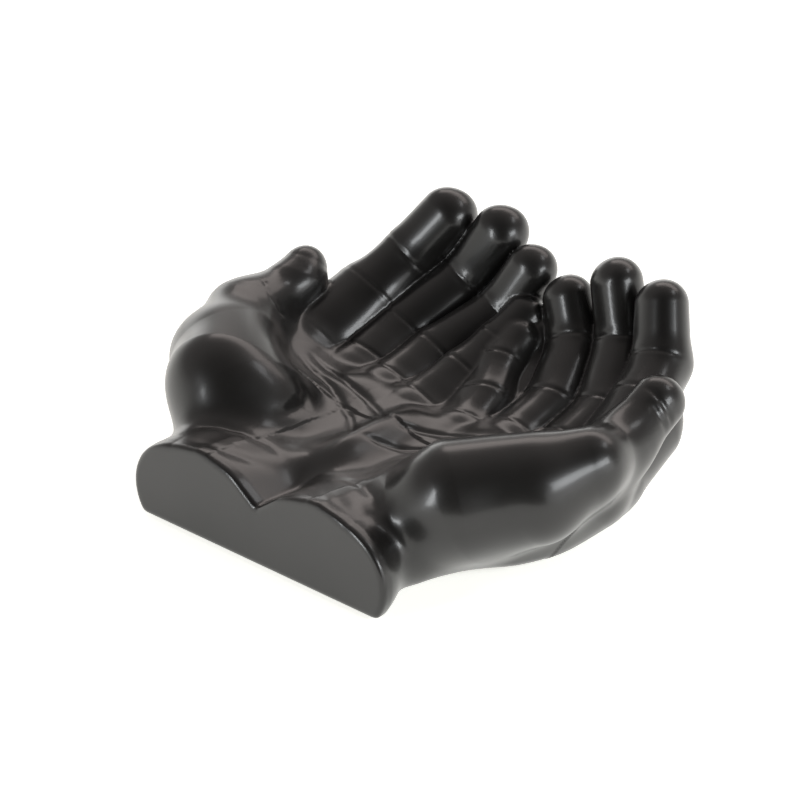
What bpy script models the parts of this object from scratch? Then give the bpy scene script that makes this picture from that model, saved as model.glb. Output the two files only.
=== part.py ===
"""Cupped-hands dish: two open hands with their palms up, cast as one hollow glazed body, on four foot pads."""

import bmesh
import bpy
import numpy as np
from mathutils import Matrix, Vector

# Driving sizes, in millimetres. +X is to the right hand, +Y runs from the wrist face to the fingertips.
WIDTH = 200.0  # across both thumbs
LENGTH = 172.0  # wrist face to middle fingertips
HEIGHT = 77.0  # base to fingertips
WALL = 6.0  # thickness of the casting where it is hollow
VENT_R = 6.0  # round vent hole in the underside
PAD_R = 8.0  # stick-on foot pads
PAD_T = 1.0
GAP = 0.3  # between a pad and the base it is stuck to
RIM_R = 2.2  # rounded edge of the wrist face
GROOVE = 3.0  # softness of the grooves between fingers
BASE_R = 5.0  # rounded lower edge of the hands
GRID = 2.1  # size of the first surface grid
BODY_FACES = 0.11  # share of the grid's faces kept
CORE_FACES = 0.16

MM = 0.001
BASE_Z = PAD_T + GAP
DRAWN = np.array([200.0, 172.0, 77.0])  # the sizes at which the joints below are drawn
STRETCH = np.array([WIDTH, LENGTH, HEIGHT]) / DRAWN
GIRTH = float(np.cbrt(STRETCH.prod()))
PALM_UP = np.array([-0.356, -0.458, 0.815])  # the way a palm faces, for a hand on the +X side

# Joints of each hand, as (x, y, z, radius). x is counted outward from the plane between the hands.
RIGHT = {
    "index": [(71, 100.5, 21, 12.5), (68, 133, 38, 11.5), (62.5, 149.5, 47.7, 10.2), (54, 159, 65.5, 9.2)],
    "middle": [(50.5, 100, 16, 12.5), (51, 132, 28, 10.8), (38.5, 156.5, 45.5, 9.6), (30.5, 161, 66.5, 9.1)],
    "ring": [(30.5, 98, 16.5, 12.3), (30, 127, 25.5, 10.5), (19, 152.5, 39.5, 9.7), (10, 157.5, 54, 8.9)],
    "little": [(13, 92, 17, 11), (8.5, 114, 25, 9), (0.7, 130.5, 31, 8.4), (-0.6, 142.6, 37.4, 7.9)],
    "thumb": [(59, 41, 34, 19), (89.5, 78, 43, 11), (85.5, 101, 41.7, 10.6), (85.8, 118.5, 51.2, 10)],
    "thenar": [(43, 48.5, 20.5, 20), (79.5, 60.5, 34.5, 18.2)],
    "side": [(57, 71.5, 10, 18), (79, 88.5, 26, 15)],
    "knuckle": [(75.7, 105, 24.8, 13.4), (72.2, 130, 30.5, 11.7)],
    "carpus": [(20.5, 31, 7, 12.4), (46, 46, 10, 13)],
    "root": [(45, 18, 21, 13), (60.3, 40.3, 29.5, 16)],
    "inner_sole": [(22, 26, 8, 15), (24.7, 90, 12, 13.8)],
    "outer_sole": [(33.5, 28, 8.5, 14), (49.5, 90, 12, 15.5)],
}
LEFT = dict(
    RIGHT,
    index=[(71, 100.5, 21, 12.3), (68, 133, 38.5, 11.8), (62.2, 148.3, 51.2, 10.3), (52.2, 159.4, 68, 10.2)],
    middle=[(50.3, 100, 16.3, 12.3), (51, 132, 28.5, 10.7), (40.4, 157, 46.3, 9.5), (29.2, 163.7, 67, 9.8)],
    ring=[(31, 98, 16.5, 12.4), (30.2, 127, 26, 10.4), (19.2, 153, 39.8, 9.5), (10.3, 160, 59, 8.8)],
    little=[(14, 92, 17, 10.8), (10, 120.5, 27.5, 9.2), (7, 137, 35.5, 8.3), (4, 149.5, 44.5, 7.5)],
    thumb=[(62, 44, 37, 19), (87, 82, 40.3, 13.1), (85, 110, 46.2, 9.7), (86.8, 115.6, 51, 7.4)],
    thenar=[(49.8, 48.5, 27, 20.7), (80, 58.5, 35.2, 15.3)],
    side=[(61.2, 69, 13.5, 18.3), (76, 86, 21.7, 15.5)],
    knuckle=[(76.8, 103.5, 26.6, 13.8), (74.2, 129.5, 35, 11)],
    root=[(44.3, 19.7, 16.9, 13.5), (57.8, 42.8, 26.5, 15.8)],
)
FINGERS = ("little", "ring", "middle", "index")
PALM_PIECES = dict(inner_sole=6, outer_sole=6, side=14, root=14, thenar=12)  # and how softly each blends in
CENTRE = [(0, 32, 10, 12), (0, 84, 12, 12), (2, 112, 19, 10), (0, 134, 28, 7)]  # joins the two hands
WRIST = dict(top_x=30.0, top_z=12.0, top_r=22.7, side_x=43.5, side_z=12.0, side_r=19.0, neck=4.4, neck_y=18.0)
# Heights of the palm along its length, as (y, z): the crest where the two little-finger sides meet, the floor
# beside it, and how steeply that floor climbs outward.
CREST = [(0, 18.5), (22, 21), (30, 26), (37, 31), (46, 33.5), (65, 33.5), (75, 32.6), (91, 28.7), (108, 31)]
FLOOR = [(0, 31), (18, 30), (35, 28), (50, 26.3), (65, 25.3), (80, 26.3), (95, 29), (110, 32)]
CLIMB = [(40, 0), (66, 0.12), (83, 0.28), (100, 0.25)]
CREST_WIDTH, CLIMB_FROM = 9.0, 18.0
CORE = {  # hollow inside each hand, drawn as the casting's outside
    "heel": [(15, 40, 12, 14), (16, 80, 12, 13)],
    "palm": [(27, 24, 15, 15), (38, 84, 15, 15)],
    "thenar": [(48, 46, 22, 20), (71, 66, 28, 17)],
    "middle": [(0, 40, 15, 15), (0, 74, 15, 14)],
}
PADS = {"front": (42.0, 13.0), "rear": (42.0, 84.0)}
VENT_Y = 56.0


def point(joint):
    return np.array(joint[:3], float) * STRETCH


def blend_min(a, b, reach):
    near = np.maximum(reach - np.abs(a - b), 0) / reach
    return np.minimum(a, b) - near * near * reach / 4


def blend_max(a, b, reach):
    return -blend_min(-a, -b, reach)


def limb(p, start, end, r_start, r_end):
    """Distance to a round bar that tapers from one joint to the next."""
    along = end - start
    t = np.clip((p - start) @ along / (along @ along), 0, 1)
    off = p - start - t[:, None] * along
    return np.sqrt((off * off).sum(1)) - (r_start + (r_end - r_start) * t)


def bar(p, joints):
    return limb(p, point(joints[0]), point(joints[1]), joints[0][3] * GIRTH, joints[1][3] * GIRTH)


def chain(p, joints, reach=(5, 4)):
    found = bar(p, joints[:2])
    for i in range(1, len(joints) - 1):
        found = blend_min(found, bar(p, joints[i : i + 2]), reach[i - 1])
    return found


def smooth_line(spots, soft=5.0):
    """A rounded curve through (y, value) places."""
    y = np.arange(-20.0, 140.0, 0.5)
    reach = np.arange(-20, 20.5, 0.5)
    weight = np.exp(-((reach / soft) ** 2))
    padded = np.interp(np.arange(-40.0, 160.0, 0.5), *zip(*spots))
    value = np.convolve(padded, weight / weight.sum(), "valid")[: len(y)]
    return lambda where: np.interp(where, y, value)


CREST_AT, FLOOR_AT, CLIMB_AT = smooth_line(CREST, 4), smooth_line(FLOOR, 8), smooth_line(CLIMB, 8)


def palm_slab(p):
    """The palm as a solid below its curved top, open at the sides where the other pieces cover it."""
    out, y, z = np.abs(p[:, 0]) / STRETCH[0], p[:, 1] / STRETCH[1], p[:, 2] / STRETCH[2]
    floor = FLOOR_AT(y) + CLIMB_AT(y) * np.maximum(out - CLIMB_FROM, 0)
    top = floor + (CREST_AT(y) - floor) * np.exp(-((out / CREST_WIDTH) ** 2))
    edge = blend_max(out - 44, y - 94, 12)
    return blend_max((z - top) * 0.92, edge, 12) * GIRTH


def finger(p, joints):
    """A finger with a broad, flattish pad on the palm side of each of its three bones."""
    found = chain(p, joints)
    for i, (low, high) in enumerate(((0.20, 0.92), (0.10, 0.90), (0.12, 0.97))):
        a, b = point(joints[i]), point(joints[i + 1])
        unit = (b - a) / np.linalg.norm(b - a)
        out = PALM_UP - (PALM_UP @ unit) * unit
        out /= np.linalg.norm(out)
        across = np.cross(unit, out)
        radii = [0.8 * joints[i][3] * GIRTH, 0.8 * joints[i + 1][3] * GIRTH]
        for side in (-0.27, 0.27):
            shift = (0.22 * out + side * across) * joints[i + 1][3] * GIRTH
            ends = a + (b - a) * low + shift, a + (b - a) * high + shift
            found = blend_min(found, limb(p, *ends, *radii), 3)
    return found


def webs(hand):
    """Thin fill set back between neighbouring fingers, as joints."""
    for one, two in zip(FINGERS[:-1], FINGERS[1:]):
        for share in (1 / 3, 2 / 3):
            mid = [np.array(a) * share + np.array(b) * (1 - share) for a, b in zip(hand[one], hand[two])]
            mid[3] = mid[2] + (mid[3] - mid[2]) * (0.35 if one == "little" else 0.6)
            yield [(*(joint[:3] - 3 * PALM_UP), radius) for joint, radius in zip(mid, (8, 6.5, 5.6, 4.6))]


def wrist(p):
    """A two-circle lobe that runs back from the wrist face and necks in behind it."""
    w = WRIST
    x, y, z = (p / STRETCH).T
    t = np.clip((x - w["top_x"]) / (w["side_x"] - w["top_x"]), 0, 1)
    radius = w["top_r"] + (w["side_r"] - w["top_r"]) * t
    lobe = np.hypot(x - w["top_x"] - (w["side_x"] - w["top_x"]) * t, z - w["top_z"]) - radius
    lobe = blend_min(lobe, np.hypot(x - 15, z - 8) - 20.5, 6)
    lobe = lobe + w["neck"] * np.exp(-(((y - w["neck_y"]) / 9) ** 2)) * np.clip((x - 25) / 25, 0, 1)
    return blend_max(lobe + 0.15 * np.maximum(y - 5, 0), y - 38, 14) * GIRTH


def hand_field(p, hand):
    palm = palm_slab(p)
    for i, name in enumerate(FINGERS):
        wrist_end = tuple(np.array(hand["carpus"][0]) + (np.array(hand["carpus"][1]) - hand["carpus"][0]) * i / 3)
        palm = blend_min(palm, bar(p, [wrist_end, hand[name][0]]), 7)
    palm = blend_min(palm, wrist(p), 9)
    for name, reach in PALM_PIECES.items():
        palm = blend_min(palm, bar(p, hand[name]), reach)
    palm = blend_min(palm, chain(p, CENTRE), 5)
    found = blend_min(palm, bar(p, hand["knuckle"]), 8)
    for name in FINGERS:
        found = blend_min(found, blend_min(palm, finger(p, hand[name]), 6), GROOVE)
    for joints in webs(hand):
        found = blend_min(found, chain(p, joints, (2, 2)), GROOVE)
    return blend_min(found, blend_min(palm, chain(p, hand["thumb"]), 10), GROOVE)


def body_field(p):
    """Distance to the outside of the casting: both hands, cut flat underneath and across the wrists."""
    mirrored = p * (-1, 1, 1)
    found = blend_min(hand_field(p, RIGHT), hand_field(mirrored, LEFT), GROOVE)
    soft = np.clip((p[:, 1] - 4) / 14, 0, 1)
    found = blend_max(found, -p[:, 2], 1.5) * (1 - soft) + blend_max(found, -p[:, 2], BASE_R) * soft
    return blend_max(found, -p[:, 1], RIM_R)


def core_field(p):
    """Distance to the hollow, one wall inside the palms and wrists."""
    found = None
    for side in (1, -1):
        for name, joints in CORE.items():
            if name == "middle" and side == -1:
                continue
            part = bar(p * (side, 1, 1), joints)
            found = part if found is None else blend_min(found, part, 8)
    found = found + WALL
    found = blend_max(found, WALL - p[:, 2], 3)
    return blend_max(found, WALL - p[:, 1], 3)


def slope(field, p):
    step = 0.2
    gradient = np.stack([field(p + step * axis) - field(p - step * axis) for axis in np.eye(3)], 1) / (2 * step)
    return gradient / np.maximum(np.linalg.norm(gradient, axis=1), 1e-6)[:, None]


def collection(name):
    found = bpy.data.collections.new(name)
    bpy.context.scene.collection.children.link(found)
    return found


def material(name, colour, roughness, coat=0.0):
    made = bpy.data.materials.new(name)
    made.use_nodes = True
    shader = made.node_tree.nodes["Principled BSDF"]
    shader.inputs["Base Color"].default_value = (*colour, 1)
    shader.inputs["Roughness"].default_value = roughness
    shader.inputs["Coat Weight"].default_value = coat
    return made


def add_object(name, mesh, home):
    made = bpy.data.objects.new(name, mesh)
    home.objects.link(made)
    return made


def add_bar(mesh, joints, side):
    """A ball at each joint and a cone between each pair."""
    mirror = np.array([side, 1, 1])
    for joint in joints:
        where = Matrix.Translation(Vector(point(joint) * mirror))
        bmesh.ops.create_icosphere(mesh, subdivisions=2, radius=joint[3] * GIRTH, matrix=where)
    for one, two in zip(joints[:-1], joints[1:]):
        a, b = Vector(point(one) * mirror), Vector(point(two) * mirror)
        turn = (b - a).to_track_quat("Z", "Y").to_matrix().to_4x4()
        bmesh.ops.create_cone(
            mesh,
            cap_ends=True,
            segments=20,
            radius1=one[3] * GIRTH,
            radius2=two[3] * GIRTH,
            depth=(b - a).length,
            matrix=Matrix.Translation((a + b) / 2) @ turn,
        )


def rough_hands(mesh):
    for side, hand in ((1, RIGHT), (-1, LEFT)):
        for joints in (*hand.values(), *webs(hand)):
            add_bar(mesh, joints, side)
        for name in FINGERS:
            add_bar(mesh, [hand["carpus"][0 if name in ("little", "ring") else 1], hand[name][0]], side)
        w = WRIST
        add_bar(mesh, [(w["top_x"], -6, w["top_z"], w["top_r"]), (w["top_x"], 26, w["top_z"], w["top_r"] - 3)], side)
        add_bar(mesh, [(w["side_x"], -6, w["side_z"], w["side_r"]), (w["side_x"], 24, 14, w["side_r"] - 4)], side)
        add_bar(mesh, [(15, -6, 8, 20.5), (18, 30, 11, 17), (20, 60, 11, 14), (24, 88, 13, 14)], side)
        add_bar(mesh, [(36, 10, 14, 15), (40, 50, 14, 14), (40, 90, 14, 14)], side)
    add_bar(mesh, CENTRE, 1)
    add_bar(mesh, [(0, -4, 6, 13), (0, 50, 16, 15), (0, 90, 14, 13)], 1)


def rough_core(mesh):
    for side in (1, -1):
        for joints in CORE.values():
            add_bar(mesh, [(x, y, z, max(r - WALL / GIRTH, 3)) for x, y, z, r in joints], side)


def skin(name, rough, field, low, grid, keep, home):
    """Wraps rough balls and cones in one closed skin, settles it on the field, and thins its faces."""
    tool = bpy.data.meshes.new(name + "_rough")
    builder = bmesh.new()
    rough(builder)
    builder.to_mesh(tool)
    builder.free()
    wrapped = add_object(name + "_rough", tool, home)
    block = box(name + "_block", (-300, low[0], low[1]), (300, 400, 300), home)
    for kind in ("REMESH", "BOOLEAN", "REMESH"):
        modifier = wrapped.modifiers.new(kind.title(), kind)
        if kind == "REMESH":
            modifier.mode, modifier.voxel_size = "VOXEL", grid
        else:
            modifier.operation, modifier.solver, modifier.object = "INTERSECT", "EXACT", block
    bpy.context.view_layer.update()
    graph = bpy.context.evaluated_depsgraph_get()
    mesh = bpy.data.meshes.new_from_object(wrapped.evaluated_get(graph))
    settle(mesh, field)
    for helper in (wrapped, block):
        bpy.data.objects.remove(helper)
    made = add_object(name, mesh, home)
    thin = made.modifiers.new("Thin", "DECIMATE")
    thin.ratio = keep
    bpy.context.view_layer.update()
    thinned = bpy.data.meshes.new_from_object(made.evaluated_get(bpy.context.evaluated_depsgraph_get()))
    made.modifiers.clear()
    made.data = thinned
    thinned.transform(Matrix.Scale(MM, 4))
    thinned.transform(Matrix.Translation((0, 0, BASE_Z * MM)))
    thinned.update()
    return made


def settle(mesh, field, rounds=5, steps=3):
    """Moves each point onto the field's zero surface, keeping the points evenly spread."""
    count = len(mesh.vertices)
    p = np.empty(count * 3)
    mesh.vertices.foreach_get("co", p)
    p = p.reshape(-1, 3)
    edges = np.empty(len(mesh.edges) * 2, int)
    mesh.edges.foreach_get("vertices", edges)
    one, two = edges.reshape(-1, 2).T
    valence = np.bincount(edges, minlength=count)[:, None]
    for lap in range(rounds):
        for _ in range(steps):
            p -= np.clip(field(p), -2, 2)[:, None] * slope(field, p)
        if lap == rounds - 1:
            break
        total = np.zeros_like(p)
        np.add.at(total, one, p[two])
        np.add.at(total, two, p[one])
        pull = total / valence - p
        normal = slope(field, p)
        p += 0.5 * (pull - (pull * normal).sum(1)[:, None] * normal)
    mesh.vertices.foreach_set("co", p.ravel())
    mesh.update()


def box(name, low, high, home):
    mesh = bpy.data.meshes.new(name)
    builder = bmesh.new()
    bmesh.ops.create_cube(builder, size=1)
    for vertex in builder.verts:
        for axis in range(3):
            vertex.co[axis] = low[axis] if vertex.co[axis] < 0 else high[axis]
    builder.to_mesh(mesh)
    builder.free()
    return add_object(name, mesh, home)


def disc(name, x, y, low, high, radius, home, edge=0.0):
    mesh = bpy.data.meshes.new(name)
    builder = bmesh.new()
    where = Matrix.Translation((x * MM, y * MM, (low + high) / 2 * MM))
    bmesh.ops.create_cone(
        builder,
        cap_ends=True,
        segments=32,
        radius1=radius * MM,
        radius2=radius * MM,
        depth=(high - low) * MM,
        matrix=where,
    )
    builder.to_mesh(mesh)
    builder.free()
    made = add_object(name, mesh, home)
    if edge:
        bevel = made.modifiers.new("Edge", "BEVEL")
        bevel.width, bevel.segments, bevel.limit_method = edge * MM, 1, "ANGLE"
    return made


def cupped_hands(home, tools):
    body = skin("cupped_hands", rough_hands, body_field, (0, 0), GRID, BODY_FACES, home)
    core = skin("core", rough_core, core_field, (WALL, WALL), GRID * 1.6, CORE_FACES, tools)
    vent = disc("vent", 0, VENT_Y * STRETCH[1], BASE_Z - 4, BASE_Z + WALL + 5, VENT_R, tools)
    for cutter in (core, vent):
        cutter.display_type = "WIRE"
        cut = body.modifiers.new("Cut " + cutter.name, "BOOLEAN")
        cut.operation, cut.solver, cut.object = "DIFFERENCE", "EXACT", cutter
    body.data.materials.clear()
    body.data.materials.append(material("satin black glaze", (0.012, 0.012, 0.012), 0.3, 0.4))
    return body


def foot_pads(home):
    rubber = material("black pad rubber", (0.02, 0.02, 0.02), 0.8)
    for row, (x, y) in PADS.items():
        for side, sign in (("left", -1), ("right", 1)):
            place = (sign * x * STRETCH[0], y * STRETCH[1])
            pad = disc(f"foot_pad_{row}_{side}", *place, 0, PAD_T, PAD_R, home, edge=0.2)
            pad.data.materials.append(rubber)


def centre(body):
    """Moves the whole dish so that the middle of its outline stands over the origin."""
    seen = np.array([vertex.co[:2] for vertex in body.data.vertices])
    x, y = (seen.min(0) + seen.max(0)) / 2
    for obj in bpy.data.objects:
        obj.data.transform(Matrix.Translation((-x, -y, 0)))


def main():
    for old in list(bpy.data.objects):
        bpy.data.objects.remove(old)
    home = collection("cupped_hands_dish")
    tools = collection("cutters")
    tools.hide_render = True
    body = cupped_hands(home, tools)
    foot_pads(home)
    centre(body)


main()
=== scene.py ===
"""Finished look of the cupped-hands dish: sculpted hands in satin black glaze, in a white studio."""

import bpy
import numpy as np
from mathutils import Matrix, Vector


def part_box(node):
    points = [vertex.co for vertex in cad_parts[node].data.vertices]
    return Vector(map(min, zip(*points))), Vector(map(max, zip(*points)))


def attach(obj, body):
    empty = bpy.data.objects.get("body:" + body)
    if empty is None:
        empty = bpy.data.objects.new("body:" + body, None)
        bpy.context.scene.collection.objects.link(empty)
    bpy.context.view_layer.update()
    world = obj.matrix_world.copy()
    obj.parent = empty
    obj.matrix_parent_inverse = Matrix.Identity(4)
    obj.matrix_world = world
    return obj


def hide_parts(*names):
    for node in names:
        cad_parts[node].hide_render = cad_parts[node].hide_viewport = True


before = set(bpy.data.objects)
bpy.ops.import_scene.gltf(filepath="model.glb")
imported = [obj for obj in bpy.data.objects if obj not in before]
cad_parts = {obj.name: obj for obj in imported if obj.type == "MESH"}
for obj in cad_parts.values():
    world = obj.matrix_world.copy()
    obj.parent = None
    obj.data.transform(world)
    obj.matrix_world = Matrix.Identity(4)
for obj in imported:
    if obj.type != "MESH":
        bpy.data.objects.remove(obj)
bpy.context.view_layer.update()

import openvdb
from mathutils import Vector

MM = 0.001
VOXEL = 0.8  # mm, spacing of the sculpted surface's grid
COARSE = 4  # voxels per cell of the first, rough look at the field
BAND = 2.2  # voxels either side of the surface that are worked out exactly
SETTLES = 2  # times the mesh's points are moved onto the surface

# Where the frame puts the spot that the joints are measured from: the middle of the wrist face, on the base.
BODY_LOW, BODY_HIGH = (np.array(corner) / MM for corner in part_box("cupped_hands"))
PAD_ENDS = [np.array(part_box("foot_pad_front_" + side)) / MM for side in ("left", "right")]
ORIGIN = np.array([np.mean([ends[:, 0].mean() for ends in PAD_ENDS]), BODY_LOW[1], BODY_LOW[2]])

PALM_UP = np.array([-0.356, -0.458, 0.815])  # the way a palm faces, for a hand on the +X side
FINGERS = ("little", "ring", "middle", "index")

# Joints of each hand, as (x, y, z, radius) in mm. x is counted outward from the plane between the hands.
RIGHT = {
    "index": [(71, 100.5, 21, 12.5), (68, 133, 38, 11.5), (62.5, 149.5, 47.7, 10.2), (54, 159, 65.5, 9.2)],
    "middle": [(50.5, 100, 16, 12.5), (51, 132, 28, 10.8), (38.5, 156.5, 45.5, 9.6), (30.5, 161, 66.5, 9.1)],
    "ring": [(30.5, 98, 16.5, 12.3), (30, 127, 25.5, 10.5), (19, 152.5, 39.5, 9.7), (10, 157.5, 54, 8.9)],
    "little": [(13, 92, 17, 11), (8.5, 114, 25, 9.3), (0.2, 130.5, 31, 9.2), (-0.9, 141.6, 37.2, 9)],
    "thumb": [(59, 41, 34, 19), (89.5, 78, 43, 11), (85.5, 101, 41.7, 10.6), (85.8, 118.5, 51.2, 10)],
    "thenar": [(43, 48.5, 20.5, 20), (79.5, 60.5, 34.5, 18.2)],
    "side": [(57, 71.5, 10, 18), (79, 88.5, 26, 15)],
    "knuckle": [(75.7, 105, 24.8, 13.4), (72.2, 130, 30.5, 11.7)],
    "carpus": [(20.5, 31, 7, 12.4), (46, 46, 10, 13)],
    "root": [(45, 29, 21, 11), (60.3, 40.3, 29.5, 16)],
    "inner_sole": [(22, 26, 8, 15), (24.7, 90, 12, 13.8)],
    "outer_sole": [(33.5, 28, 8.5, 14), (49.5, 90, 12, 15.5)],
}
LEFT = dict(
    RIGHT,
    index=[(71, 100.5, 21, 12.3), (68, 133, 38.5, 11.8), (62.2, 148.3, 51.2, 10.3), (52.2, 159.4, 68, 10.2)],
    middle=[(50.3, 100, 16.3, 12.3), (51, 132, 28.5, 10.7), (40.4, 157, 46.3, 9.5), (29.2, 163.7, 67, 9.8)],
    ring=[(31, 98, 16.5, 12.4), (30.2, 127, 26, 10.4), (19.2, 153, 39.8, 9.5), (10.3, 160, 59, 8.8)],
    little=[(14, 92, 17, 10.8), (10, 120.5, 27.5, 9.2), (7, 137, 35.5, 8.3), (4, 149.5, 44.5, 7.5)],
    thumb=[(62, 44, 37, 19), (87, 82, 40.3, 13.1), (85, 110, 46.2, 9.7), (86.8, 115.6, 51, 7.4)],
    thenar=[(49.8, 48.5, 27, 20.7), (80, 58.5, 35.2, 15.3)],
    side=[(61.2, 69, 13.5, 18.3), (76, 86, 21.7, 15.5)],
    knuckle=[(76.8, 103.5, 26.6, 13.8), (74.2, 129.5, 35, 11)],
    root=[(44.3, 19.7, 16.9, 13.5), (57.8, 42.8, 26.5, 15.8)],
)
PALM_PIECES = dict(inner_sole=6, outer_sole=6, side=14, root=14, thenar=12)  # and how softly each blends in
CENTRE = [(0, 32, 10, 12), (0, 84, 12, 12), (2, 112, 19, 10), (0, 134, 28, 7)]  # joins the two hands
# The wrist's lobe in section: one circle at the top, one at the side, one between the two wrists.
WRIST_TOP = dict(x=30.0, z=12.0, r=22.7)
WRIST_SIDE = dict(x=43.5, r=19.0)
WRIST_INNER = dict(x=15.0, z=8.0, r=20.5)
WRIST_END, WRIST_TAPER, TAPER_FROM = 38.0, 0.15, 5.0
NECK, NECK_Y, NECK_REACH, NECK_FROM_X = 3.6, 18.0, 9.0, 25.0  # how far the wrist draws in, and where
RIM_R = 2.2  # rounded edge of the wrist face
BASE_R, FACE_BASE_R = 5.0, 1.5  # rounded lower edge of the hands, and of the wrist face
FACE_END, BASE_START = 4.0, 18.0  # y between which the one becomes the other
GROOVE = 1.0  # softness of the grooves between fingers
FINGERS_FROM, THUMB_FROM = 72.0, 25.0  # y and x beyond which those bones are near enough to matter

# Heights of the palm along its length, as (y, z): the crest where the hands meet, the floor beside it, and
# how steeply that floor climbs outward.
CREST = [(0, 18.5), (22, 21), (30, 26), (37, 31), (46, 33.5), (65, 33.5), (75, 32.6), (91, 28.7), (108, 31)]
FLOOR = [(0, 31), (18, 30), (35, 28), (50, 26.3), (65, 25.3), (80, 26.3), (95, 29), (110, 32)]
CLIMB = [(40, 0), (66, 0.12), (83, 0.28), (100, 0.25)]
CREST_WIDTH, CLIMB_FROM = 9.0, 18.0
PALM_SIDE, PALM_FRONT = 44.0, 94.0  # x and y at which the palm's own top ends

# Lines carved into both palms, as (x, y) seen from above, then width, depth, and the share that fades out.
PALM_LINES = [
    ([(57, 82), (48, 80), (37, 77), (28, 73), (19, 68.5), (12, 62.5), (7, 57.5), (2, 53)], 1.4, 0.8, 0.15),
    ([(57, 88), (46, 86), (32, 82), (22, 80.5), (13, 77), (8, 74), (3, 69.5)], 1.4, 0.8, 0.15),
    ([(38, 61), (33, 60), (30, 56), (29, 51), (29, 46), (30, 40)], 2.6, 1.1, 0.35),
    ([(47, 12), (44, 17), (38, 21), (30, 24), (20, 27), (11, 26)], 2.2, 0.5, 0.3),
    ([(45, 5), (34, 6), (24, 8), (15, 13), (8, 20)], 2.6, 0.3, 0.3),
]
# Lines on one hand only, as (x, y, z) on the skin: the left thumb's joint, the right thumb's nail and joint.
THUMB_LINES = {
    -1: [([(83, 90, 55), (81, 87, 53), (76, 85.5, 50), (73, 86, 46), (72, 89, 42)], 0.9, 0.5, 0.15)],
    1: [
        ([(84, 112, 61), (88, 112.5, 59), (92, 112.3, 57), (95, 113, 53), (96, 115, 47)], 0.9, 0.7, 0.15),
        ([(90, 109, 57), (94, 109.5, 52), (95.5, 112, 45)], 1.6, 0.6, 0.3),
    ],
}
# How far along its first bone each finger's base crease lies, and how deep its creases are.
BASE_CREASE = {"index": 0.18, "middle": 0.36, "ring": 0.26, "little": 0.3}
BASE_DEPTH, JOINT_DEPTH, CREASE_WIDTH = 0.4, 0.45, 0.8

# The pad on the palm side of each finger bone: the share of the bone that it covers, and its shape as shares
# of the finger's radius.
PAD_SPANS = ((0.20, 0.92), (0.10, 0.90), (0.12, 0.97))
PAD_R, PAD_RAISE, PAD_SPREAD = 0.8, 0.22, 0.27

# The webs between fingers: their radius at each joint, how far back they are set, and how far up they reach.
WEB_R, WEB_BACK, WEB_TOP, WEB_TOP_R = (8, 6.5, 5.6), 3, 0.6, 4.6
LITTLE_WEB_TOP, LITTLE_WEB_TOP_R = 1.0, 6.0


def point(joint):
    return np.array(joint[:3], float)


def blend_min(a, b, reach):
    near = np.maximum(reach - np.abs(a - b), 0) / reach
    return np.minimum(a, b) - near * near * reach / 4


def blend_max(a, b, reach):
    return -blend_min(-a, -b, reach)


def limb(p, start, end, r_start, r_end):
    """Distance to a round bar that tapers from one joint to the next."""
    along = end - start
    t = np.clip((p - start) @ (along / (along @ along)), 0, 1)
    off = p - start - t[:, None] * along
    return np.sqrt((off * off).sum(1)) - (r_start + (r_end - r_start) * t)


def bar(p, joints):
    return limb(p, point(joints[0]), point(joints[1]), joints[0][3], joints[1][3])


def chain(p, joints, reach=(5, 4)):
    found = bar(p, joints[:2])
    for i in range(1, len(joints) - 1):
        found = blend_min(found, bar(p, joints[i : i + 2]), reach[i - 1])
    return found


def smooth_line(spots, soft=5.0):
    """A rounded curve through (y, value) places."""
    y = np.arange(-20.0, 140.0, 0.5)
    reach = np.arange(-20, 20.5, 0.5)
    weight = np.exp(-((reach / soft) ** 2))
    padded = np.interp(np.arange(-40.0, 160.0, 0.5), *zip(*spots))
    value = np.convolve(padded, weight / weight.sum(), "valid")[: len(y)]
    return lambda where: np.interp(where, y, value)


CREST_AT, FLOOR_AT, CLIMB_AT = smooth_line(CREST, 4), smooth_line(FLOOR, 8), smooth_line(CLIMB, 8)


def palm_slab(p):
    """The palm as a solid below its curved top, open at the sides where the other pieces cover it."""
    out, y, z = np.abs(p[:, 0]), p[:, 1], p[:, 2]
    floor = FLOOR_AT(y) + CLIMB_AT(y) * np.maximum(out - CLIMB_FROM, 0)
    top = floor + (CREST_AT(y) - floor) * np.exp(-((out / CREST_WIDTH) ** 2))
    edge = blend_max(out - PALM_SIDE, y - PALM_FRONT, 12)
    return blend_max((z - top) * 0.92, edge, 12)


def facing_up(a, b):
    """The way along a bone, and the palm side of it."""
    unit = (b - a) / np.linalg.norm(b - a)
    return unit, palm_side(unit)


def palm_side(unit):
    out = PALM_UP - (PALM_UP @ unit) * unit
    return out / np.linalg.norm(out)


def finger(p, joints, base_crease):
    """A finger with a broad, flattish pad on the palm side of each of its three bones."""
    found = chain(p, joints)
    for i, (low, high) in enumerate(PAD_SPANS):
        a, b = point(joints[i]), point(joints[i + 1])
        unit, out = facing_up(a, b)
        across = np.cross(unit, out)
        radii = [PAD_R * joints[i][3], PAD_R * joints[i + 1][3]]
        for side in (-PAD_SPREAD, PAD_SPREAD):
            shift = (PAD_RAISE * out + side * across) * joints[i + 1][3]
            ends = a + (b - a) * low + shift, a + (b - a) * high + shift
            found = blend_min(found, limb(p, *ends, *radii), 3)
    for i, share, depth in ((0, base_crease, BASE_DEPTH), (1, 0.0, JOINT_DEPTH), (2, 0.0, JOINT_DEPTH)):
        found = found + joint_crease(p, joints, i, share, depth)
    return found


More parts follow.
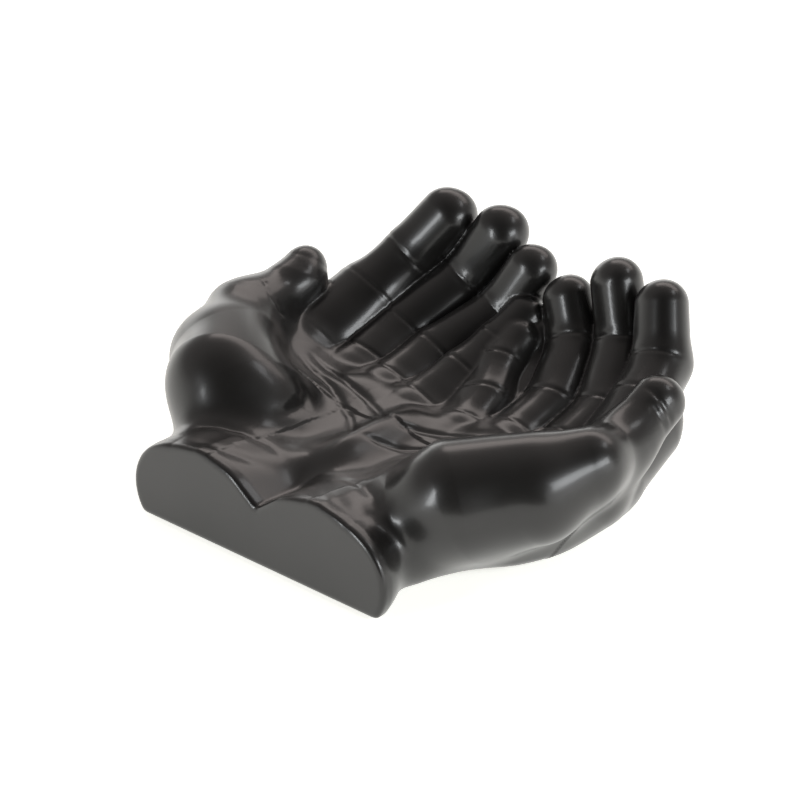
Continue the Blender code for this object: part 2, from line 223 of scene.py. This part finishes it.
def joint_crease(p, joints, i, share, depth):
    """A thin line pressed across the palm side of a finger, at a share of the way along its bone i."""
    a, b = point(joints[i]), point(joints[i + 1])
    unit = (b - a) / np.linalg.norm(b - a)
    if share == 0:
        before = a - point(joints[i - 1])
        unit = unit + before / np.linalg.norm(before)
        unit /= np.linalg.norm(unit)
    off = p - a - (b - a) * share
    away = np.linalg.norm(off, axis=1)
    facing = off @ palm_side(unit) / np.maximum(away, 1e-6)
    near = np.exp(-((away / (1.6 * joints[i][3])) ** 6))
    return depth * np.exp(-((off @ unit / CREASE_WIDTH) ** 2)) * np.clip(facing * 1.6, 0, 1) * near


def webs(hand):
    """Thin fill set back between neighbouring fingers, as joints."""
    for one, two in zip(FINGERS[:-1], FINGERS[1:]):
        top, top_r = (LITTLE_WEB_TOP, LITTLE_WEB_TOP_R) if one == "little" else (WEB_TOP, WEB_TOP_R)
        for share in (1 / 3, 2 / 3):
            pairs = zip(hand[one], hand[two])
            mid = [np.array(a) * share + np.array(b) * (1 - share) for a, b in pairs]
            mid[3] = mid[2] + (mid[3] - mid[2]) * top
            radii = (*WEB_R, top_r)
            yield [(*(joint[:3] - WEB_BACK * PALM_UP), radius) for joint, radius in zip(mid, radii)]


def wrist(p):
    """A two-circle lobe that runs back from the wrist face and necks in behind it."""
    x, y, z = p.T
    top, side, inner = WRIST_TOP, WRIST_SIDE, WRIST_INNER
    wide = side["x"] - top["x"]
    t = np.clip((x - top["x"]) / wide, 0, 1)
    radius = top["r"] + (side["r"] - top["r"]) * t
    lobe = np.hypot(x - top["x"] - wide * t, z - top["z"]) - radius
    lobe = blend_min(lobe, np.hypot(x - inner["x"], z - inner["z"]) - inner["r"], 6)
    outward = np.clip((x - NECK_FROM_X) / 25, 0, 1)
    lobe = lobe + NECK * np.exp(-(((y - NECK_Y) / NECK_REACH) ** 2)) * outward
    lobe = lobe + WRIST_TAPER * np.maximum(y - TAPER_FROM, 0)
    return blend_max(lobe, y - WRIST_END, 14)


def hand_field(p, hand):
    """Distance to the skin of one hand, which lies on the +X side."""
    palm = palm_slab(p)
    inner, outer = np.array(hand["carpus"])
    for i, name in enumerate(FINGERS):
        wrist_end = tuple(inner + (outer - inner) * i / 3)
        palm = blend_min(palm, bar(p, [wrist_end, hand[name][0]]), 7)
    palm = blend_min(palm, wrist(p), 9)
    for name, reach in PALM_PIECES.items():
        palm = blend_min(palm, bar(p, hand[name]), reach)
    palm = blend_min(palm, chain(p, CENTRE), 5)
    found = palm.copy()
    front = p[:, 1] > FINGERS_FROM
    found[front] = with_fingers(p[front], palm[front], hand)
    side = p[:, 0] > THUMB_FROM
    thumb = blend_min(palm[side], chain(p[side], hand["thumb"], (9, 6)), 12)
    found[side] = blend_min(found[side], thumb, GROOVE)
    return found


def with_fingers(p, palm, hand):
    """The palm's distance with the four fingers and their webs added."""
    knuckle = bar(p, hand["knuckle"])
    found = blend_min(palm, knuckle, 8)
    for name in FINGERS:
        own = finger(p, hand[name], BASE_CREASE[name])
        if name == "index":
            own = blend_min(own, knuckle, 8)
        found = blend_min(found, blend_min(palm, own, 6), GROOVE)
    for joints in webs(hand):
        found = blend_min(found, chain(p, joints, (2, 2)), GROOVE)
    return found


def both_hands(p):
    """Each hand is worked out only where it can be the nearer one."""
    found = np.full(len(p), 50.0)
    for hand, mirror in ((RIGHT, 1), (LEFT, -1)):
        near = p[:, 0] * mirror > -25
        own = hand_field(p[near] * (mirror, 1, 1), hand)
        found[near] = blend_min(found[near], own, GROOVE)
    return found


def cut_flat(found, p):
    """Cuts the hands flat underneath and across the wrists, with rounded edges."""
    soft = np.clip((p[:, 1] - FACE_END) / (BASE_START - FACE_END), 0, 1)
    at_face = blend_max(found, -p[:, 2], FACE_BASE_R)
    behind = blend_max(found, -p[:, 2], BASE_R)
    return blend_max(at_face * (1 - soft) + behind * soft, -p[:, 1], RIM_R)


def drop_on(field, spots):
    """The points of the surface straight below these (x, y) places."""
    p = np.array([(x, y, 90.0) for x, y in spots])
    for _ in range(60):
        p[:, 2] -= 0.8 * np.clip(field(p), -1, 8)
    return p


def carved(p, line, width, depth, fading):
    """How deep a line is pressed into the surface at each point. The line fades out at its ends."""
    found = np.zeros(len(p))
    low, high = line.min(0) - 4 * width, line.max(0) + 4 * width
    near = ((p > low) & (p < high)).all(1)
    if not near.any():
        return found
    q, best, where = p[near], np.full(near.sum(), 1e3), np.zeros(near.sum())
    steps = len(line) - 1
    for i in range(steps):
        along = line[i + 1] - line[i]
        t = np.clip((q - line[i]) @ (along / (along @ along)), 0, 1)
        gap = np.linalg.norm(q - line[i] - t[:, None] * along, axis=1)
        closer = gap < best
        best[closer], where[closer] = gap[closer], (i + t[closer]) / steps
    fade = np.clip(np.minimum(where, 1 - where) / fading + 0.1, 0, 1)
    found[near] = depth * np.exp(-((best / width) ** 2)) * fade
    return found


def skin_lines():
    for side in (1, -1):
        for spots, *shape in PALM_LINES:
            yield drop_on(both_hands, [(side * x, y) for x, y in spots]), *shape
        for spots, *shape in THUMB_LINES[side]:
            yield np.array(spots, float) * (side, 1, 1), *shape


LINES = list(skin_lines())


def body_field(p):
    """Distance to the finished skin, with its lines and its flat base and wrist face."""
    found = both_hands(p)
    for line in LINES:
        found = found + carved(p, *line)
    return cut_flat(found, p)


def slope(field, p, step=0.15):
    """The way out of the surface at each point, as a unit vector."""
    gradient = np.stack([field(p + step * axis) - field(p - step * axis) for axis in np.eye(3)], 1)
    return gradient / np.maximum(np.linalg.norm(gradient, axis=1), 1e-6)[:, None]


def sampled(field, low, high, voxel):
    """The field on a regular grid, worked out exactly only near its surface."""
    wide = voxel * COARSE
    counts = np.ceil((high - low) / wide).astype(int) + 1
    axes = [low[i] + wide * np.arange(counts[i]) for i in range(3)]
    coarse = field(np.stack(np.meshgrid(*axes, indexing="ij"), -1).reshape(-1, 3)).reshape(counts)
    fine = coarse
    for axis in range(3):  # straight-line fill between the rough grid's points
        ends = np.arange((counts[axis] - 1) * COARSE + 1) / COARSE
        left = np.minimum(ends.astype(int), counts[axis] - 2)
        shape = [1, 1, 1]
        shape[axis] = len(ends)
        share = (ends - left).reshape(shape)
        fine = np.take(fine, left, axis) * (1 - share) + np.take(fine, left + 1, axis) * share
    near = np.argwhere(np.abs(fine) < (BAND + 0.9 * COARSE) * voxel)
    fine[tuple(near.T)] = field(low + near * voxel)
    return np.clip(fine, -3 * voxel, 3 * voxel).astype(np.float32)


def surface_mesh(name, field, low, high, voxel):
    """Closed mesh of the field's zero surface, with its points settled exactly on it."""
    grid = openvdb.FloatGrid(background=3 * voxel)
    grid.copyFromArray(sampled(field, low, high, voxel))
    points, quads = grid.convertToQuads(0.0)
    points = low + points.astype(float) * voxel
    for _ in range(SETTLES):
        points -= np.clip(field(points), -voxel, voxel)[:, None] * slope(field, points)
    mesh = bpy.data.meshes.new(name)
    mesh.vertices.add(len(points))
    mesh.vertices.foreach_set("co", ((points + ORIGIN) * MM).ravel())
    mesh.loops.add(quads.size)
    mesh.loops.foreach_set("vertex_index", quads[:, ::-1].astype(np.int32).ravel())
    mesh.polygons.add(len(quads))
    mesh.polygons.foreach_set("loop_start", np.arange(0, quads.size, 4, dtype=np.int32))
    mesh.update(calc_edges=True)
    mesh.validate()
    mesh.polygons.foreach_set("use_smooth", np.ones(len(mesh.polygons), bool))
    return mesh


def add_object(name, mesh):
    made = bpy.data.objects.new(name, mesh)
    bpy.context.scene.collection.objects.link(made)
    return made


class Nodes:
    """Short calls for building a material's node tree."""

    def __init__(self, name):
        self.material = bpy.data.materials.new(name)
        self.material.use_nodes = True
        self.tree = self.material.node_tree
        self.shader = self.tree.nodes["Principled BSDF"]

    def add(self, kind, **values):
        node = self.tree.nodes.new("ShaderNode" + kind)
        for key, value in values.items():
            setattr(node, key, value)
        return node

    def link(self, out, into):
        self.tree.links.new(out, into)

    def noise(self, scale, detail=3.0, roughness=0.5):
        """Noise in the object's own space, where 1 unit of scale is one blob per metre."""
        where = self.add("TexCoord")
        node = self.add("TexNoise")
        self.link(where.outputs["Object"], node.inputs["Vector"])
        node.inputs["Scale"].default_value = scale
        node.inputs["Detail"].default_value = detail
        node.inputs["Roughness"].default_value = roughness
        return node.outputs["Fac"]

    def ramp(self, value, *stops):
        node = self.add("ValToRGB")
        for i, (place, colour) in enumerate(stops):
            stop = node.color_ramp.elements[i] if i < 2 else node.color_ramp.elements.new(place)
            stop.position = place
            stop.color = (*colour, 1) if len(colour) == 3 else colour
        self.link(value, node.inputs["Fac"])
        return node.outputs["Color"]

    def spread(self, value, low, high, into):
        """Maps 0..1 to low..high and feeds a shader socket."""
        node = self.add("MapRange")
        node.inputs["To Min"].default_value = low
        node.inputs["To Max"].default_value = high
        self.link(value, node.inputs["Value"])
        self.link(node.outputs["Result"], self.shader.inputs[into])

    def bump(self, value, strength, distance, after=None):
        node = self.add("Bump")
        node.inputs["Strength"].default_value = strength
        node.inputs["Distance"].default_value = distance
        self.link(value, node.inputs["Height"])
        if after is not None:
            self.link(after, node.inputs["Normal"])
        return node.outputs["Normal"]


def black_glaze():
    """Satin black glaze: a little uneven in colour and gloss, with a faint ripple and a fine speckle."""
    n = Nodes("satin_black_glaze")
    darker, paler = (0.0070, 0.0066, 0.0062), (0.0125, 0.0118, 0.0112)
    tone = n.ramp(n.noise(24.0, 4.0), (0.35, darker), (0.70, paler))
    n.link(tone, n.shader.inputs["Base Color"])
    n.spread(n.noise(60.0, 5.0, 0.6), 0.27, 0.36, "Roughness")
    ripple = n.bump(n.noise(90.0, 2.0), 0.05, 0.4 * MM)
    speckle = n.bump(n.noise(2600.0, 2.0), 0.04, 0.05 * MM, ripple)
    n.link(speckle, n.shader.inputs["Normal"])
    n.shader.inputs["IOR"].default_value = 1.55
    n.shader.inputs["Specular IOR Level"].default_value = 0.36
    n.shader.inputs["Coat Weight"].default_value = 0.4
    n.shader.inputs["Coat Roughness"].default_value = 0.17
    return n.material


def pad_rubber():
    """Dull black rubber with a fine grain."""
    n = Nodes("pad_rubber")
    tone = n.ramp(n.noise(300.0, 4.0), (0.3, (0.012, 0.012, 0.012)), (0.7, (0.03, 0.03, 0.03)))
    n.link(tone, n.shader.inputs["Base Color"])
    n.spread(n.noise(500.0, 3.0), 0.7, 0.9, "Roughness")
    n.link(n.bump(n.noise(2500.0, 3.0), 0.3, 0.1 * MM), n.shader.inputs["Normal"])
    return n.material


def floor_paper():
    """White paper, lit from behind so that it shows no shadow."""
    n = Nodes("floor_paper")
    tone = n.ramp(n.noise(3.0, 2.0), (0.4, (0.93, 0.93, 0.93)), (0.6, (0.94, 0.94, 0.94)))
    n.link(tone, n.shader.inputs["Base Color"])
    n.shader.inputs["Roughness"].default_value = 0.9
    n.shader.inputs["Specular IOR Level"].default_value = 0.1
    n.shader.inputs["Emission Color"].default_value = (1, 1, 0.94, 1)
    n.shader.inputs["Emission Strength"].default_value = 0.74
    return n.material


def hands():
    margin = 4 * VOXEL
    low = BODY_LOW - ORIGIN - margin
    high = BODY_HIGH - ORIGIN + margin
    mesh = surface_mesh("sculpted_hands", body_field, low, high, VOXEL)
    body = add_object("sculpted_hands", mesh)
    body.data.materials.append(black_glaze())
    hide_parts("cupped_hands")
    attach(body, "root")


def pads():
    rubber = pad_rubber()
    for name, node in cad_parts.items():
        if name.startswith("foot_pad"):
            for slot in node.material_slots:
                slot.material = rubber


def floor():
    mesh = bpy.data.meshes.new("floor")
    reach = 6.0
    corners = [(-reach, -reach, 0), (reach, -reach, 0), (reach, reach, 0), (-reach, reach, 0)]
    mesh.from_pydata(corners, [], [(0, 1, 2, 3)])
    made = add_object("floor", mesh)
    made.data.materials.append(floor_paper())


AIM = Vector((0, 0, 0.03))  # what the lights face
LIGHTS_AWAY = 1.8  # metres
DAYLIGHT, WARM = (0.95, 0.98, 1.0), (1, 0.90, 0.86)


def softbox(name, azimuth, elevation, width, height, radiance, colour=(1, 1, 1)):
    """A rectangular light that faces the dish. Azimuth 0 is in front of the wrists, and 90 to the right."""
    a, e = np.radians(azimuth), np.radians(elevation)
    light = bpy.data.lights.new(name, "AREA")
    light.shape, light.size, light.size_y = "RECTANGLE", width, height
    light.energy, light.color = 4 * radiance * width * height, colour
    made = add_object(name, light)
    toward = Vector((np.sin(a) * np.cos(e), -np.cos(a) * np.cos(e), np.sin(e)))
    made.location = AIM + LIGHTS_AWAY * toward
    made.rotation_euler = (AIM - made.location).to_track_quat("-Z", "Y").to_euler()


def surroundings():
    """A pale studio: white low down all round, warm grey overhead, and darker toward the camera."""
    world = bpy.data.worlds.new("studio")
    world.use_nodes = True
    tree = world.node_tree
    add, link = tree.nodes.new, tree.links.new
    where = add("ShaderNodeTexCoord")
    split = add("ShaderNodeSeparateXYZ")
    link(where.outputs["Generated"], split.inputs[0])
    height = add("ShaderNodeValToRGB")
    stops = (
        (0.0, (1.3, 1.3, 1.25)),
        (0.18, (0.85, 0.83, 0.8)),
        (0.38, (0.36, 0.34, 0.33)),
        (1.0, (0.36, 0.33, 0.32)),
    )
    for i, (place, colour) in enumerate(stops):
        stop = height.color_ramp.elements[i] if i < 2 else height.color_ramp.elements.new(place)
        stop.position, stop.color = place, (*colour, 1)
    link(split.outputs["Z"], height.inputs["Fac"])
    toward = add("ShaderNodeVectorMath")
    toward.operation = "DOT_PRODUCT"
    toward.inputs[1].default_value = (0.58, -0.62, 0.53)
    link(where.outputs["Generated"], toward.inputs[0])
    dim = add("ShaderNodeMapRange")
    for name, value in {"From Min": 0.30, "From Max": 0.90, "To Min": 1.0, "To Max": 0.12}.items():
        dim.inputs[name].default_value = value
    link(toward.outputs["Value"], dim.inputs["Value"])
    link(height.outputs["Color"], tree.nodes["Background"].inputs["Color"])
    link(dim.outputs["Result"], tree.nodes["Background"].inputs["Strength"])
    bpy.context.scene.world = world


def studio():
    surroundings()
    softbox("back_wall", -158, 42, 2.1, 0.60, 1.45, WARM)
    softbox("side_wall", 92, 12, 1.7, 0.7, 1.0)
    softbox("window_right", 94, 27, 0.90, 0.46, 7.0, DAYLIGHT)
    softbox("wall_left", -128, 8, 1.6, 0.5, 0.6)
    softbox("window_front", -11, 18, 0.26, 0.9, 11.0, DAYLIGHT)
    softbox("window_back", 150, 52, 0.50, 0.30, 2.5, (0.97, 0.98, 1.0))
    bpy.context.scene.view_settings.view_transform = "Standard"


CAMERA_AZIMUTH, CAMERA_ELEVATION = 43.153, 27.0  # degrees
CAMERA_AT = np.array([999.77, -991.12, 783.19])  # mm, from the middle of the wrist face


def camera():
    """A long lens, from the height and side of the photograph."""
    a, e = np.radians(CAMERA_AZIMUTH), np.radians(CAMERA_ELEVATION)
    view = Vector((-np.sin(a) * np.cos(e), np.cos(a) * np.cos(e), -np.sin(e)))
    made = add_object("camera", bpy.data.cameras.new("camera"))
    made.location = (CAMERA_AT + ORIGIN) * MM
    made.rotation_euler = view.to_track_quat("-Z", "Y").to_euler()
    made.data.lens, made.data.sensor_width = 202.5, 36.0
    made.data.clip_end = 20
    bpy.context.scene.camera = made


hands()
pads()
floor()
studio()
camera()
